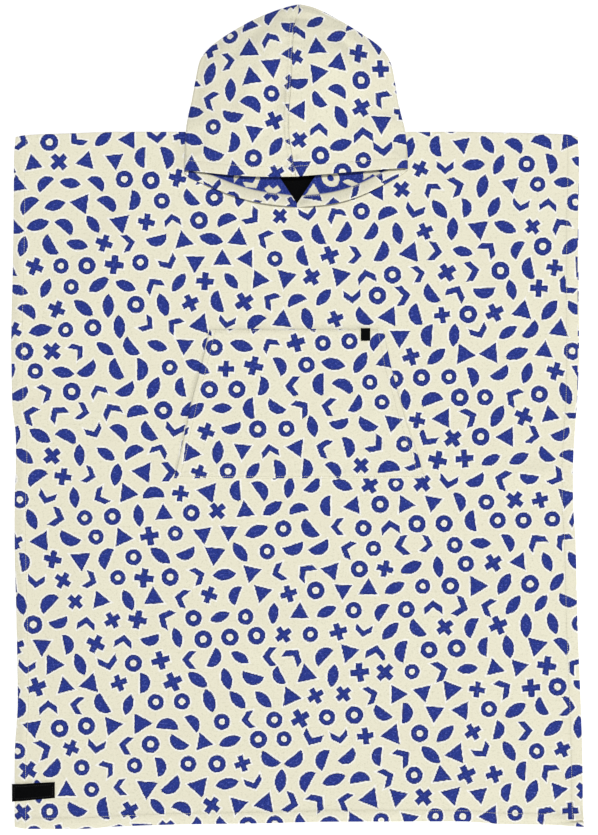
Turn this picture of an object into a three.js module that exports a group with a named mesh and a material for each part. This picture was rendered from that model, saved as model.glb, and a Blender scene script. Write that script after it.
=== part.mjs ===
// A hooded bath poncho of thick towelling, laid flat on its back with its front up.
// X runs across the garment, Y from the hem to the hood and Z up. Sizes are millimetres.
import * as THREE from 'three';

// Cloth
const CLOTH_WALL = 2;
const LABEL_WALL = 1;
const SEAM_GAP = 0.3;
const FACET_ROOM = 0.1;

// Body, from the hem up to the shoulder seams
const SHOULDER_Y = 1105;
const ARMHOLE_BOTTOM_Y = 677;
const NECK_HALF_WIDTH = 72;
const NECK_POINT_Y = 994;

// Side edges of the body at heights above the hem. The back shows past the front by peek.
const SIDE_ROWS = [
  { y: 0, left: -450, right: 456, peek: 0 },
  { y: 105, left: -450, right: 455, peek: 0 },
  { y: 201, left: -445, right: 452, peek: 0 },
  { y: 329, left: -447, right: 447, peek: 0 },
  { y: 456, left: -450, right: 444, peek: 0 },
  { y: 520, left: -450, right: 440, peek: 0 },
  { y: 568, left: -448, right: 440, peek: 0 },
  { y: 616, left: -448, right: 442, peek: 0 },
  { y: 677, left: -454, right: 447, peek: 1 },
  { y: 760, left: -455, right: 450, peek: 2.5 },
  { y: 935, left: -452, right: 449, peek: 2 },
  { y: 1063, left: -451, right: 450, peek: 0.5 },
  { y: 1105, left: -448, right: 447, peek: 0 },
];

// How far the shoulder seam and the hem leave a straight line across the garment
const END_ROWS = [
  { x: -450, shoulder: -6, hem: -1 },
  { x: -430, shoulder: -3, hem: -4 },
  { x: -350, shoulder: 0, hem: -4 },
  { x: -290, shoulder: 2, hem: 0 },
  { x: -200, shoulder: 2, hem: 3 },
  { x: -60, shoulder: 1, hem: 5 },
  { x: 60, shoulder: 1, hem: 8 },
  { x: 260, shoulder: 2, hem: 8 },
  { x: 320, shoulder: 1, hem: 4 },
  { x: 430, shoulder: -2, hem: 2 },
  { x: 450, shoulder: -6, hem: 1 },
];

// Soft rises where the front lies loose over the back
const RISES = [
  { x: -300, y: 905, turn: 68, length: 130, width: 46, height: 2.2 },
  { x: 330, y: 880, turn: 102, length: 150, width: 42, height: 2.4 },
  { x: -443, y: 800, turn: 90, length: 70, width: 22, height: 2.6 },
  { x: 440, y: 930, turn: 90, length: 60, width: 22, height: 2.2 },
  { x: 372, y: 560, turn: 172, length: 60, width: 20, height: 2.4 },
  { x: -330, y: 420, turn: 80, length: 170, width: 48, height: 1.8 },
  { x: 320, y: 330, turn: 96, length: 160, width: 50, height: 2 },
  { x: -60, y: 300, turn: 12, length: 180, width: 40, height: 1.6 },
  { x: 280, y: 60, turn: 4, length: 70, width: 14, height: 1.8 },
  { x: -270, y: 18, turn: 3, length: 70, width: 22, height: 2.2 },
  { x: 60, y: 12, turn: 0, length: 110, width: 22, height: 1.8 },
];
const SEWN_EDGE_FADE = 45;

// The front rides up over the neck patch and the neck seam
const NECK_LIFT = { height: LABEL_WALL + SEAM_GAP, y: 1060, full: 100, gone: 210 };

// Hood sections from its peak, at 0, to its face edge, at 1. Left and right are the side fold's
// outline and foldY its height, seamX and seamY the centre seam on the upper layer. The lower
// layer's inner end, inX from the centre and inY, goes down the nape seam, along the back neckline
// and down the front neckline to the chin. Crest is the height of the upper layer at its seam.
const HOOD_SECTIONS = [
  { at: 0, left: 3, right: 3, foldY: 1309, seamX: 3, seamY: 1296, inX: 0, inY: 1296, crest: 10 },
  { at: 0.05, left: -18, right: 25, foldY: 1304, seamX: 0, seamY: 1287, inX: 0, inY: 1285, crest: 13 },
  { at: 0.15, left: -57, right: 56, foldY: 1290, seamX: -5, seamY: 1267, inX: 0, inY: 1262, crest: 17 },
  { at: 0.3, left: -104, right: 98, foldY: 1265, seamX: -7, seamY: 1234, inX: 0, inY: 1222, crest: 23 },
  { at: 0.42, left: -139, right: 133, foldY: 1240, seamX: -8, seamY: 1206, inX: 0, inY: 1187, crest: 27 },
  { at: 0.5, left: -155, right: 148, foldY: 1219, seamX: -9, seamY: 1183, inX: 0, inY: 1160, crest: 28 },
  { at: 0.58, left: -161, right: 155, foldY: 1192, seamX: -11, seamY: 1158, inX: 0, inY: 1134, crest: 28 },
  { at: 0.68, left: -167, right: 160, foldY: 1160, seamX: -13, seamY: 1126, inX: 0, inY: 1105, crest: 27 },
  { at: 0.76, left: -173, right: 166, foldY: 1132, seamX: -13, seamY: 1103, inX: 40, inY: 1105, crest: 26 },
  { at: 0.83, left: -177, right: 169, foldY: 1112, seamX: -11, seamY: 1084, inX: 72, inY: 1105, crest: 25 },
  { at: 0.9, left: -179, right: 173, foldY: 1087, seamX: -7, seamY: 1062, inX: 40, inY: 1056, crest: 24 },
  { at: 0.975, left: -181, right: 180, foldY: 1058, seamX: -3, seamY: 1039, inX: 0, inY: 994, crest: 23 },
  { at: 1, left: -182, right: 182, foldY: 1049, seamX: -2, seamY: 1032, inX: 0, inY: 986, crest: 23 },
];
const HOOD_ROWS = 24;
const PEAK_ROWS = [0.012, 0.025];
const NAPE_SEAM_DRIFT = 0.15;
const FOLD_RADIUS = 4;
const FOLD_ANGLES = [-60, -30, 0, 30, 60];
const LAYER_STEPS = [0, 0.06, 0.15, 0.28, 0.43, 0.6, 0.8, 1];
const LOFT_POWER = 2.1;
const FACE_BOW = { left: 6, right: 0, chin: 14, start: 0.8 };

// Where the hood's lower layer climbs from the floor over the shoulder seam
const CLIMB = { low: 1146, high: 1112, innerX: 34, outerX: 58 };

// Hollows in the hood's upper layer: the nick under the peak and the slack below it
const HOOD_DENTS = [
  { x: 8, y: 1279, turn: -6, length: 42, width: 8, height: -5 },
  { x: -24, y: 1152, turn: 70, length: 34, width: 20, height: -3.5 },
  { x: 92, y: 1128, turn: 62, length: 46, width: 14, height: -2.5 },
  { x: -112, y: 1148, turn: 112, length: 48, width: 14, height: -2.5 },
  { x: 60, y: 1206, turn: 40, length: 34, width: 12, height: -2 },
];

// Pocket edges at heights above the hem
const POCKET_ROWS = [
  { y: 555, left: -196, right: 204 },
  { y: 600, left: -185, right: 190 },
  { y: 646, left: -175, right: 174 },
  { y: 686, left: -166, right: 163 },
  { y: 724, left: -156, right: 152 },
  { y: 793, left: -139, right: 138 },
];
const POCKET_MOUTH_LIFT = 1.4;
const POCKET_MOUTH_REACH = 34;

// Labels
const POCKET_LABEL = { x: 109, top: 794, width: 15, height: 20 };
const SIDE_LABEL = {
  left: -454, right: -385.5, bottomLeft: 40, bottomRight: 46, topLeft: 68, topRight: 71.5,
};
const NECK_PATCH = { halfWidth: 84, depth: 114, top: 1103, columns: 14, rows: 5 };

// Mesh density
const PANEL_COLUMNS = [0, 24, 48, 72, 100, 140, 180, 220, 262, 305, 348, 390, 424, 450];
const FRONT_ROWS = 27;
const BACK_ROWS = 13;
const POCKET_COLUMNS = 11;
const POCKET_STEPS = 7;

// Colours and finish
const CREAM = { color: 0xebe8cd, roughness: 0.95, metalness: 0 };
const BLACK = { color: 0x0a0a0a, roughness: 0.85, metalness: 0 };

// Smooth value of one column of a table at a place between its rows
function valueAt(rows, key, place, column) {
  const last = rows.length - 1;
  if (place <= rows[0][key]) return rows[0][column];
  if (place >= rows[last][key]) return rows[last][column];
  let index = 0;
  while (rows[index + 1][key] < place) index += 1;
  const slope = (a, b) => (rows[b][column] - rows[a][column]) / (rows[b][key] - rows[a][key]);
  const span = rows[index + 1][key] - rows[index][key];
  const here = slope(index, index + 1);
  const softer = (a, b) => (a * b <= 0 ? 0 : (2 * a * b) / (a + b));
  const entry = index > 0 ? softer(slope(index - 1, index), here) : here;
  const exit = index + 1 < last ? softer(here, slope(index + 1, index + 2)) : here;
  const t = (place - rows[index][key]) / span;
  const rest = 1 - t;
  return rows[index][column] * (1 + 2 * t) * rest * rest
    + rows[index + 1][column] * (3 - 2 * t) * t * t
    + span * entry * t * rest * rest
    - span * exit * t * t * rest;
}

function ease(value, from, to) {
  const t = Math.min(1, Math.max(0, (value - from) / (to - from)));
  return t * t * (3 - 2 * t);
}

// Height of soft mounds or hollows at a point, from a table of them
function moundsAt(table, x, y) {
  let height = 0;
  for (const mound of table) {
    const turn = THREE.MathUtils.degToRad(mound.turn);
    const along = (x - mound.x) * Math.cos(turn) + (y - mound.y) * Math.sin(turn);
    const across = (y - mound.y) * Math.cos(turn) - (x - mound.x) * Math.sin(turn);
    height += mound.height * Math.exp(-((along / mound.length) ** 2) - (across / mound.width) ** 2);
  }
  return height;
}

function shoulderY(x) {
  return SHOULDER_Y + valueAt(END_ROWS, 'x', x, 'shoulder');
}

function hemY(x) {
  return valueAt(END_ROWS, 'x', x, 'hem');
}

// Underside of the front: on the back where they are sewn, a little loose elsewhere
function frontUnder(x, y) {
  const left = valueAt(SIDE_ROWS, 'y', y, 'left');
  const right = valueAt(SIDE_ROWS, 'y', y, 'right');
  const fromSide = Math.min(x - left, right - x);
  const seamFade = ease(fromSide, 0, SEWN_EDGE_FADE);
  const sideFade = y > ARMHOLE_BOTTOM_Y ? Math.max(seamFade, ease(y, ARMHOLE_BOTTOM_Y, 760)) : seamFade;
  const shoulderFade = ease(SHOULDER_Y - y, 0, SEWN_EDGE_FADE);
  const neckFade = ease(Math.hypot(x, y - NECK_LIFT.y), NECK_LIFT.full, NECK_LIFT.gone);
  const loose = moundsAt(RISES, x, y) * sideFade * shoulderFade * neckFade;
  return CLOTH_WALL + SEAM_GAP + loose + NECK_LIFT.height * (1 - neckFade);
}

function frontTop(x, y) {
  return frontUnder(x, y) + CLOTH_WALL;
}

// Closed wall between two grids of points of the same size. From the first one, a column step
// turned towards a row step by the right-hand rule points out of the wall.
function wallBetween(face, reverse) {
  const rows = face.length;
  const columns = face[0].length;
  const positions = [];
  for (const grid of [face, reverse]) {
    for (const row of grid) {
      for (const point of row) positions.push(point.x, point.y, point.z);
    }
  }
  const out = (row, column) => row * columns + column;
  const back = (row, column) => rows * columns + out(row, column);
  const triangles = [];
  const quad = (a, b, c, d) => triangles.push(a, b, c, a, c, d);
  for (let r = 0; r + 1 < rows; r += 1) {
    for (let c = 0; c + 1 < columns; c += 1) {
      quad(out(r, c), out(r, c + 1), out(r + 1, c + 1), out(r + 1, c));
      quad(back(r, c), back(r + 1, c), back(r + 1, c + 1), back(r, c + 1));
    }
  }
  for (let c = 0; c + 1 < columns; c += 1) {
    quad(out(0, c), back(0, c), back(0, c + 1), out(0, c + 1));
    quad(out(rows - 1, c), out(rows - 1, c + 1), back(rows - 1, c + 1), back(rows - 1, c));
  }
  for (let r = 0; r + 1 < rows; r += 1) {
    quad(out(r, 0), out(r + 1, 0), back(r + 1, 0), back(r, 0));
    quad(out(r, columns - 1), back(r, columns - 1), back(r + 1, columns - 1), out(r + 1, columns - 1));
  }
  const geometry = new THREE.BufferGeometry();
  geometry.setAttribute('position', new THREE.Float32BufferAttribute(positions, 3));
  geometry.setIndex(triangles);
  return geometry;
}

// Piece lying on the height that under gives, from a grid of places seen from above
function layer(grid, under, wall) {
  const point = ([x, y], extra) => new THREE.Vector3(x, y, under(x, y) + extra);
  const lift = (extra) => grid.map((row) => row.map((place) => point(place, extra)));
  return wallBetween(lift(wall), lift(0));
}

function steps(count) {
  return Array.from({ length: count + 1 }, (_, index) => index / count);
}

// Places of a body panel: columns spread between its side edges, rows between hem and top edge
function panelGrid(rowCount, topEdge, peekShare) {
  const stops = [...PANEL_COLUMNS.slice(1).reverse().map((x) => -x), ...PANEL_COLUMNS];
  const half = PANEL_COLUMNS[PANEL_COLUMNS.length - 1];
  return steps(rowCount).map((t) => stops.map((stop) => {
    const y = THREE.MathUtils.lerp(hemY(stop), topEdge(stop), t);
    const left = valueAt(SIDE_ROWS, 'y', y, 'left');
    const right = valueAt(SIDE_ROWS, 'y', y, 'right') - peekShare * valueAt(SIDE_ROWS, 'y', y, 'peek');
    const stretch = (stop < 0 ? -left : right) - half;
    const x = stop + Math.sign(stop) * stretch * ease(Math.abs(stop), NECK_HALF_WIDTH, half);
    return [x, y];
  }));
}

function backGeometry() {
  const topEdge = (x) => (Math.abs(x) <= NECK_HALF_WIDTH ? SHOULDER_Y - SEAM_GAP : shoulderY(x));
  return layer(panelGrid(BACK_ROWS, topEdge, 0), () => 0, CLOTH_WALL);
}

function frontGeometry() {
  const neckline = (x) => THREE.MathUtils.lerp(NECK_POINT_Y, shoulderY(x), Math.abs(x) / NECK_HALF_WIDTH);
  const topEdge = (x) => (Math.abs(x) <= NECK_HALF_WIDTH ? neckline(x) : shoulderY(x));
  return layer(panelGrid(FRONT_ROWS, topEdge, 1), frontUnder, CLOTH_WALL);
}

// The pocket lies on the front and stands a little open at the lower part of its slanted sides
function pocketUnder(x, y) {
  const left = valueAt(POCKET_ROWS, 'y', y, 'left');
  const right = valueAt(POCKET_ROWS, 'y', y, 'right');
  const fromSide = Math.min(x - left, right - x);
  const bottom = POCKET_ROWS[0].y;
  const top = POCKET_ROWS[POCKET_ROWS.length - 1].y;
  const middle = Math.sin(Math.PI * Math.min(1, Math.max(0, (y - bottom) / (top - bottom)))) ** 2;
  const mouth = POCKET_MOUTH_LIFT * middle * (1 - ease(fromSide, 0, POCKET_MOUTH_REACH));
  return frontTop(x, y) + SEAM_GAP + FACET_ROOM + mouth;
}

function pocketGeometry() {
  const bottom = POCKET_ROWS[0].y;
  const top = POCKET_ROWS[POCKET_ROWS.length - 1].y;
  const grid = steps(POCKET_STEPS).map((t) => {
    const y = THREE.MathUtils.lerp(bottom, top, t);
    const left = valueAt(POCKET_ROWS, 'y', y, 'left');
    const right = valueAt(POCKET_ROWS, 'y', y, 'right');
    return steps(POCKET_COLUMNS).map((s) => [THREE.MathUtils.lerp(left, right, s), y]);
  });
  return layer(grid, pocketUnder, CLOTH_WALL);
}

function pocketLabelGeometry() {
  const { x, top, width, height } = POCKET_LABEL;
  const grid = steps(2).map((t) => steps(2).map((s) => [x + (s - 0.5) * width, top - (1 - t) * height]));
  const under = (px, py) => pocketUnder(px, Math.min(py, top)) + CLOTH_WALL + SEAM_GAP + FACET_ROOM;
  return layer(grid, under, LABEL_WALL);
}

function sideLabelGeometry() {
  const label = SIDE_LABEL;
  const grid = steps(2).map((t) => steps(6).map((s) => {
    const low = THREE.MathUtils.lerp(label.bottomLeft, label.bottomRight, s);
    const high = THREE.MathUtils.lerp(label.topLeft, label.topRight, s);
    return [THREE.MathUtils.lerp(label.left, label.right, s), THREE.MathUtils.lerp(low, high, t)];
  }));
  return layer(grid, (x, y) => frontTop(x, y) + SEAM_GAP + FACET_ROOM, LABEL_WALL);
}

// Half-moon patch on the inner face of the back, hanging from the back neckline
function neckPatchGeometry() {
  const { halfWidth, depth, top, columns, rows } = NECK_PATCH;
  const grid = steps(rows).map((t) => steps(columns).map((s) => {
    const angle = Math.PI * (0.03 + 0.94 * s);
    const x = -halfWidth * Math.cos(angle);
    return [x, top - depth * Math.sin(angle) * (1 - t) - 2 * t * (1 - Math.abs(x) / halfWidth)];
  }));
  return layer(grid, () => CLOTH_WALL + SEAM_GAP, LABEL_WALL);
}

// Underside of the hood's lower layer: on the floor above the shoulders, on the front below them
function hoodUnder(x, y) {
  const onFront = frontTop(x, Math.min(y, SHOULDER_Y)) + SEAM_GAP + FACET_ROOM;
  if (y < SHOULDER_Y) return onFront;
  const overShoulder = ease(Math.abs(x), CLIMB.innerX, CLIMB.outerX);
  return onFront * overShoulder * (1 - ease(y, CLIMB.high, CLIMB.low));
}

// One hood section: its side fold, the centre seam above and the inner end below
function hoodSection(at, side) {
  const read = (column) => valueAt(HOOD_SECTIONS, 'at', at, column);
  const seamX = read('seamX') + side * SEAM_GAP / 2;
  const reach = side < 0 ? read('left') + CLOTH_WALL / 2 : read('right') - CLOTH_WALL / 2;
  const foldX = at === 0 ? seamX : reach;
  const napeX = read('seamX') * (1 - ease(at, 0, NAPE_SEAM_DRIFT));
  const inX = napeX + side * Math.max(SEAM_GAP / 2, read('inX'));
  return {
    fold: new THREE.Vector2(foldX, read('foldY')),
    seam: new THREE.Vector2(seamX, read('seamY')),
    inner: new THREE.Vector2(inX, read('inY')),
    crest: read('crest'),
    faceward: ease(at, FACE_BOW.start, 1),
  };
}

// Points of one section, from the inner end of the lower layer round the fold to the centre seam
function hoodRow(at, side) {
  const { fold, seam, inner, crest, faceward } = hoodSection(at, side);
  const half = CLOTH_WALL / 2;
  const foldBase = hoodUnder(fold.x, fold.y) + half;
  const foldTop = foldBase + 2 * FOLD_RADIUS;
  const inward = (target) => target.clone().sub(fold).normalize();
  const place = (target, share) => {
    const length = target.distanceTo(fold) - FOLD_RADIUS;
    return fold.clone().addScaledVector(inward(target), FOLD_RADIUS + share * length);
  };
  const lower = [...LAYER_STEPS].reverse().map((share) => {
    const spot = place(inner, share);
    const bowed = spot.y - faceward * FACE_BOW.chin * Math.sin(Math.PI * share);
    return new THREE.Vector3(spot.x, bowed, hoodUnder(spot.x, bowed) + half);
  });
  const around = FOLD_ANGLES.map((degrees) => {
    const angle = THREE.MathUtils.degToRad(degrees);
    const turn = (degrees + 90) / 180;
    const heading = inward(inner).lerp(inward(seam), turn).normalize();
    const spot = fold.clone().addScaledVector(heading, FOLD_RADIUS * (1 - Math.cos(angle)));
    return new THREE.Vector3(spot.x, spot.y, foldBase + FOLD_RADIUS * (1 + Math.sin(angle)));
  });
  const bow = side < 0 ? FACE_BOW.left : FACE_BOW.right;
  const upper = LAYER_STEPS.map((share) => {
    const spot = place(seam, share);
    const bowed = spot.y - faceward * bow * Math.sin(Math.PI * share);
    const rise = (crest - foldTop) * (1 - (1 - share) ** LOFT_POWER);
    const dent = moundsAt(HOOD_DENTS, spot.x, bowed) * ease(share, 0, 0.3);
    return new THREE.Vector3(spot.x, bowed, foldTop + rise + dent);
  });
  return [...lower, ...around, ...upper];
}

// Normals of a hood half, pointing into the hood. They are upright along the neck and the nape, and
// lie in the plane of the centre seam along it, so that the halves meet edge to edge.
function hoodNormals(grid, side) {
  const rows = grid.length;
  const columns = grid[0].length;
  const seamColumn = side < 0 ? columns - 1 : 0;
  const napeColumn = columns - 1 - seamColumn;
  const acrossSeam = new THREE.Vector3(1, 0, 0);
  return grid.map((row, r) => row.map((_, c) => {
    const along = grid[Math.min(r + 1, rows - 1)][c].clone().sub(grid[Math.max(r - 1, 0)][c]);
    const across = row[Math.min(c + 1, columns - 1)].clone().sub(row[Math.max(c - 1, 0)]);
    if (c === napeColumn) return new THREE.Vector3(0, 0, 1);
    if (r === 0) return acrossSeam.clone().cross(across).multiplyScalar(-side).normalize();
    if (c === seamColumn) return acrossSeam.clone().cross(along).normalize();
    return across.cross(along).normalize();
  }));
}

function hoodGeometry(side) {
  const stops = [0, ...PEAK_ROWS, ...steps(HOOD_ROWS).slice(1)];
  const grid = stops.map((at) => hoodRow(at, side));
  if (side > 0) grid.forEach((row) => row.reverse());
  const normals = hoodNormals(grid, side);
  const shifted = (distance) => grid.map((row, r) => row.map(
    (point, c) => point.clone().addScaledVector(normals[r][c], distance),
  ));
  return wallBetween(shifted(CLOTH_WALL / 2), shifted(-CLOTH_WALL / 2));
}

function piece(name, geometry, finish) {
  geometry.computeVertexNormals();
  const mesh = new THREE.Mesh(geometry, new THREE.MeshStandardMaterial(finish));
  mesh.name = name;
  return mesh;
}

const poncho = new THREE.Group();
poncho.add(piece('back', backGeometry(), CREAM));
poncho.add(piece('front', frontGeometry(), CREAM));
poncho.add(piece('hood_left', hoodGeometry(-1), CREAM));
poncho.add(piece('hood_right', hoodGeometry(1), CREAM));
poncho.add(piece('pocket', pocketGeometry(), CREAM));
poncho.add(piece('pocket_label', pocketLabelGeometry(), BLACK));
poncho.add(piece('side_label', sideLabelGeometry(), BLACK));
poncho.add(piece('neck_patch', neckPatchGeometry(), BLACK));

// The origin lies under the middle of the whole garment, on the surface it rests on
const box = new THREE.Box3().setFromObject(poncho);
const centre = box.getCenter(new THREE.Vector3());
poncho.position.set(-centre.x, -centre.y, -box.min.z);

export default poncho;
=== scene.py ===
import math

import bmesh
import bpy
import numpy as np
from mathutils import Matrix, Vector


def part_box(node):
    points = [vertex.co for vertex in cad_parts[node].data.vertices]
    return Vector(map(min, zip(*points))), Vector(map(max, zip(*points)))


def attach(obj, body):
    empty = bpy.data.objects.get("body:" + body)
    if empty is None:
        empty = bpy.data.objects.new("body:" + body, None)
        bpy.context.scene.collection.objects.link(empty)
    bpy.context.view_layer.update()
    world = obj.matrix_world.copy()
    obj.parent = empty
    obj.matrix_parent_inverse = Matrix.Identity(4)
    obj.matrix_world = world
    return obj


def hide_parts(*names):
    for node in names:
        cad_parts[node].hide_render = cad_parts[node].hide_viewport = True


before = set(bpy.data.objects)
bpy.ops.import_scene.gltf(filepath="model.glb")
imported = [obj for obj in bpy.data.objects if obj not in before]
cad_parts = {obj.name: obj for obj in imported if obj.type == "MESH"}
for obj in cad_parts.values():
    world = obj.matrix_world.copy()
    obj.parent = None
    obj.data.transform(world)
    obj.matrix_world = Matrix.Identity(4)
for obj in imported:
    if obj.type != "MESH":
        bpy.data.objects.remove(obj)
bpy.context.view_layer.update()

MM = 0.001


def named_columns(names, rows):
    """A short table as a dictionary of arrays, one for each named column."""
    return dict(zip(names.split(), np.array(rows, float).T))


# Cloth
CLOTH_WALL = 2.0
RIBBON_WALL = 1.0
SEAM_GAP = 0.3
LAY_GAP = 0.4
HEM_WIDTH = 20.0
HEM_RISE = 0.9
# Hems are pressed thinner towards their folded edges
PRESSED = {"wall": 0.55, "reach": 12.0}
# How far a hem's stitches are inside its inner edge, and how they sink into it
STITCH_INSET = 2.2
HEM_STITCH_LINE = HEM_WIDTH - STITCH_INSET
FURROW = {"depth": 0.45, "width": 1.3}
# Gathers that sewing leaves
PUCKER = {"pitch": 13.0, "wander": 2.2}
# How a wall rounds off towards its edge, as shares of its thickness
ROUNDING = {"reach": 0.7, "loss": 0.9}

# Body
HALF_WIDTH = 450.0
SHOULDER_Y = 1105.0
ARMHOLE_BOTTOM_Y = 677.0
ARMHOLE_OPEN_Y = 760.0
NECK_HALF_WIDTH = 74.0
NECK_POINT_Y = 992.0
SIDES = named_columns("y left right peek", [
    (0, -450, 456, 0),
    (105, -450, 455, 0),
    (201, -445, 452, 0),
    (329, -447, 447, 0),
    (456, -450, 444, 0),
    (520, -450, 440, 0),
    (568, -448, 440, 0),
    (616, -448, 442, 0),
    (677, -454, 447, 1),
    (760, -455, 450, 2.5),
    (935, -452, 449, 2),
    (1063, -451, 450, 0.5),
    (1105, -448, 447, 0),
])
ENDS = named_columns("x shoulder hem", [
    (-450, -6, -1),
    (-430, -3, -4),
    (-350, 0, -4),
    (-290, 2, 0),
    (-200, 2, 3),
    (-60, 1, 5),
    (60, 1, 8),
    (260, 2, 8),
    (320, 1, 4),
    (430, -2, 2),
    (450, -6, 1),
])
MOUND = "x y turn length width height"
RISES = named_columns(MOUND, [
    (-300, 905, 68, 130, 46, 2.2),
    (330, 880, 102, 150, 42, 2.4),
    (-443, 800, 90, 70, 22, 2.6),
    (440, 930, 90, 60, 22, 2.2),
    (372, 560, 172, 60, 20, 2.4),
    (-330, 420, 80, 170, 48, 1.8),
    (320, 330, 96, 160, 50, 2),
    (-60, 300, 12, 180, 40, 1.6),
    (280, 60, 4, 70, 14, 1.8),
    (-270, 18, 3, 70, 22, 2.2),
    (60, 12, 0, 110, 22, 1.8),
])
# Small creases pressed into the front, on top of its soft rises
CREASES = named_columns(MOUND, [
    (398, 566, 4, 46, 5, 1.3),
    (405, 548, -9, 38, 5, -0.9),
    (401, 592, 14, 34, 5, -0.8),
    (268, 58, 3, 52, 4, 0.9),
    (300, 50, -2, 40, 4, -0.6),
    (-420, 668, 24, 30, 5, 0.9),
    (-424, 690, -12, 26, 5, -0.7),
    (-250, 1010, 52, 90, 9, 0.8),
    (246, 1016, 128, 96, 9, 0.8),
    (-150, 960, 118, 70, 7, 0.6),
    (170, 950, 62, 64, 7, 0.6),
    (-186, 540, 40, 34, 6, 0.7),
    (200, 540, 138, 36, 6, 0.7),
    (30, 640, 88, 120, 11, 0.5),
    (-380, 180, 88, 90, 8, 0.6),
])
# A deep tuck in the hem at its right end, where the cloth stands off a little
HEM_TUCK = named_columns(MOUND, [
    (452, 10.4, 3, 17, 1.15, -7.4),
    (430, 9.2, 8, 15, 2.4, -2.4),
])
TUCK_LINES = np.arange(6.4, 13.4, 0.45)
CORNER_LIFT = {"rise": 6.2, "from": 405.0, "full": 446.0, "low": 8.0, "high": 36.0}
SEWN_EDGE_FADE = 45.0
HEM_STEP = (HEM_WIDTH - 2.5, HEM_WIDTH + 0.6)
# Uneven cloth: the height and size of its lumps, and the seed that draws them
FRONT_LUMPS = ((0.22, 46, 3), (0.16, 17, 4))
LUMP_FADE = 16.0
# Where the hood lies on the front, small creases are left out
HOOD_CALM = {"x": (190, 150), "y": (930, 980)}
LEAST_WALL = 0.9
NECK_LIFT = {"height": RIBBON_WALL + SEAM_GAP, "y": 1060.0, "full": 100.0, "gone": 210.0}

# Hood
HOOD = named_columns("at left right foldY seamX seamY inX inY crest", [
    (0, 3, 3, 1309, 3, 1296, 0, 1296, 12),
    (0.05, -18, 25, 1304, 0, 1287, 0, 1285, 17),
    (0.15, -57, 56, 1290, -5, 1267, 0, 1262, 23),
    (0.3, -104, 98, 1265, -7, 1234, 0, 1222, 27),
    (0.42, -139, 133, 1240, -8, 1206, 0, 1187, 29),
    (0.5, -155, 148, 1219, -9, 1183, 0, 1160, 29),
    (0.58, -161, 155, 1192, -11, 1158, 0, 1134, 29),
    (0.68, -167, 160, 1160, -13, 1126, 0, 1105, 28),
    (0.76, -173, 166, 1132, -13, 1103, 40, 1105, 27),
    (0.83, -176, 171, 1112, -11, 1084, 72, 1105, 26),
    (0.9, -178, 174, 1087, -7, 1062, 40, 1056, 25),
    (0.975, -179, 176, 1058, -3, 1039, 0, 994, 25),
    (1, -179, 176, 1049, -2, 1032, 0, 986, 25),
])
NAPE_SEAM_DRIFT = 0.15
FOLD_RADIUS = 4.0
LOFT_POWER = 3.2
FACE_BOW = {"left": 4.0, "right": 0.0, "chin left": 14.0, "chin right": 17.0, "start": 0.8}
FACE_HEM = 18.0
FACE_HEM_RISE = 0.9
FACE_DROOP = {"drop": 0.5, "start": 0.84, "share": 0.4}
CHIN_LIFT = {"rise": 8.0, "reach": 32.0, "start": 8.0, "full": 60.0}
MOUTH_DROP = {"left": 6.0, "right": 2.0, "start": 0.9}
MOUTH_LIP = {"left": 8.0, "right": 6.0, "start": 0.93}
MOUTH_SWELL = {"rise": 2.8, "start": 0.86}
CLIMB = {"low": 1146.0, "high": 1112.0, "inner": 34.0, "outer": 58.0}
# Beyond this section the cloth's inner end goes down the V of the neckline
NECKLINE_FROM = 0.83
DENT_FADE = 0.3
HOOD_LUMPS = {-1: ((0.35, 34, 50), (0.2, 13, 53)), 1: ((0.35, 34, 52), (0.2, 13, 53))}
SEAM_CALM = 9.0
# The felled band of the centre seam, on the left half
SEAM_BAND = {"rise": 0.8, "start": 7.5 - 0.8, "end": 7.5 + 0.5, "gap": 0.4}
BAND_STITCHES = (1.6, 6.0)
BAND_FURROW = {"depth": 0.35, "width": 0.9}
DENTS = named_columns(MOUND, [
    (14, 1280, -12, 30, 9, -5),
    (-32, 1162, 76, 44, 15, -5.5),
    (-66, 1168, 78, 46, 18, 2.5),
    (34, 1176, 100, 52, 18, 2.5),
    (72, 1246, -37, 46, 12, -4.5),
    (40, 1222, -30, 34, 18, 2.5),
    (92, 1128, 62, 46, 14, -2.5),
    (-112, 1148, 112, 48, 14, -2.5),
    (-70, 1256, 36, 40, 12, -3.5),
])
# Creases of the hood's upper layer: under the peak, along the seam and at the face corners
HOOD_CREASES = named_columns(MOUND, [
    (-2, 1283, 82, 9, 3.2, -2.8),
    (22, 1284, -10, 22, 5, -3.0),
    (44, 1268, -26, 34, 7, 2.4),
    (-26, 1286, 158, 22, 4, -1.4),
    (-12, 1252, 78, 16, 3.6, 1.2),
    (4, 1050, 104, 17, 2.6, 1.5),
    (-4, 1049, 90, 17, 2.4, -1.1),
    (-13, 1050, 74, 16, 2.6, 1.3),
    (13, 1047, 118, 15, 2.8, -1.0),
    (-30, 1046, 66, 15, 4, 0.9),
    (-158, 1066, 28, 22, 5, 1.4),
    (160, 1064, 152, 24, 5, 1.4),
    (-150, 1092, 74, 34, 6, -1.3),
    (148, 1088, 104, 36, 6, -1.3),
    (-70, 1180, 60, 40, 8, 1.5),
    (-44, 1196, 58, 42, 9, -1.3),
    (96, 1176, 118, 38, 8, 1.4),
    (70, 1160, 116, 36, 9, -1.2),
    (-96, 1226, 34, 30, 7, -1.2),
    (104, 1222, 142, 32, 8, -1.2),
    (-34, 1240, 96, 40, 10, -1.0),
    (28, 1120, 84, 38, 8, 1.1),
    (-60, 1092, 50, 34, 8, -1.1),
    (60, 1088, 132, 30, 8, 1.0),
])

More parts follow.
